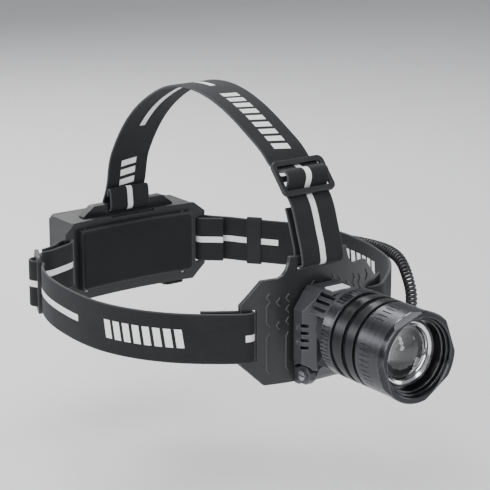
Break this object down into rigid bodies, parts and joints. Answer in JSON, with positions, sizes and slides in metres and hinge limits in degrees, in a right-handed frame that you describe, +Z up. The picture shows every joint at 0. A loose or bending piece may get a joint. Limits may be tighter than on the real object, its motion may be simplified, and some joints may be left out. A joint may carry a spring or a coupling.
{
  "type": "headlamp",
  "caption": "Head-worn torch: a tilting zoom lamp on a curved front plate, webbing round and over the head, and a rear battery case joined by a coiled cable.",
  "frame": {"origin": "middle of the wearer's head in the plane of the side straps, where the centre of the head band sits", "axes": "-Y points the way the wearer and the lamp face, +Y to the battery case at the back, +Z up through the crown, +X to the side the coiled cable runs on (the wearer's left)"},
  "size_m": [0.2213, 0.3167, 0.1567],
  "materials": {
    "plate_black": "moulded, fine matt",
    "foam": "closed-cell foam, fabric faced",
    "body_black": "black anodised, satin",
    "steel_screw": "plain steel",
    "sink_metal": "machined",
    "ring_metal": "polished",
    "rubber_black": "matt",
    "board": "green solder mask",
    "switch_black": "moulded",
    "led_yellow": "phosphor under silicone",
    "lens_glass": "clear, polished",
    "inner_plastic": "moulded",
    "button_white": "translucent white",
    "case_grey": "moulded, fine matt",
    "cell_wrap": "heat-shrink sleeve",
    "contact_metal": "nickel-washed spring brass",
    "port_metal": "stamped shell",
    "webbing": "woven elastic webbing, charcoal with a pale woven stripe",
    "slider_black": "moulded, semi-gloss",
    "cable_black": "smooth jacket"
  },
  "bodies": {
    "frame": {"front_plate": "plate_black", "front_foam_liner": "foam", "tilt_bracket": "body_black", "bracket_screws": "steel_screw", "hinge_pin": "steel_screw", "hinge_nut": "steel_screw", "carrier_plate": "case_grey", "pad_frame": "plate_black", "head_pad": "foam", "carrier_screws": "steel_screw", "battery_case": "case_grey", "cover_hinge_pins": "steel_screw", "battery_cell_upper": "cell_wrap", "battery_cell_lower": "cell_wrap", "cell_holder": "inner_plastic", "contact_springs": "contact_metal", "contact_plates": "contact_metal", "charge_board": "board", "charge_port": "port_metal", "port_hinge_ears": "case_grey", "port_hinge_pin": "steel_screw", "strap_anchor_bar": "case_grey", "strap_left": "webbing", "strap_left_rear": "webbing", "strap_left_end": "webbing", "strap_right_end": "webbing", "strap_right": "webbing", "strap_right_rear": "webbing", "keeper_band": "webbing", "strap_crown": "webbing", "strap_crown_front": "webbing", "strap_crown_rear": "webbing", "slider_left": "slider_black", "slider_crown": "slider_black", "coiled_cable": "cable_black", "cable_gland_rear": "rubber_black", "cable_gland_front": "rubber_black"},
    "lamp": {"lamp_block": "body_black", "block_rear_cover": "body_black", "block_gasket": "rubber_black", "block_side_screws": "steel_screw", "driver_board": "board", "tactile_switch": "switch_black", "heat_sink": "sink_metal", "led_board": "board", "led_emitter": "led_yellow", "led_board_screws": "steel_screw", "grip_ring": "body_black", "barrel_tube": "body_black", "barrel_o_ring": "rubber_black"},
    "zoom": {"zoom_sleeve": "body_black", "bezel": "body_black", "lens": "lens_glass", "lens_retaining_ring": "ring_metal", "lens_seal": "rubber_black", "lens_clamp_ring": "inner_plastic"},
    "button": {"power_button": "button_white"},
    "cover": {"battery_cover": "case_grey"},
    "port_flap": {"port_cover": "rubber_black"}
  },
  "joints": [
    {"name": "lamp_tilt", "type": "hinge", "parent": "frame", "child": "lamp", "pos_m": [0, -0.1055, -0.024], "axis": [1, 0, 0], "range_deg": [0, 90]},
    {"name": "zoom_slide", "type": "slide", "parent": "lamp", "child": "zoom", "axis": [0, -1, 0], "range_m": [0, 0.009]},
    {"name": "button_press", "type": "slide", "parent": "lamp", "child": "button", "axis": [0, 0, -1], "range_m": [0, 0.0008], "stiffness_N_per_m": 600},
    {"name": "cover_hinge", "type": "hinge", "parent": "frame", "child": "cover", "pos_m": [0, 0.1288, -0.0296], "axis": [-1, 0, 0], "range_deg": [0, 100]},
    {"name": "port_flap_hinge", "type": "hinge", "parent": "frame", "child": "port_flap", "pos_m": [0.0324, 0.1186, -0.0286], "axis": [1, 0, 0], "range_deg": [0, 100]}
  ]
}
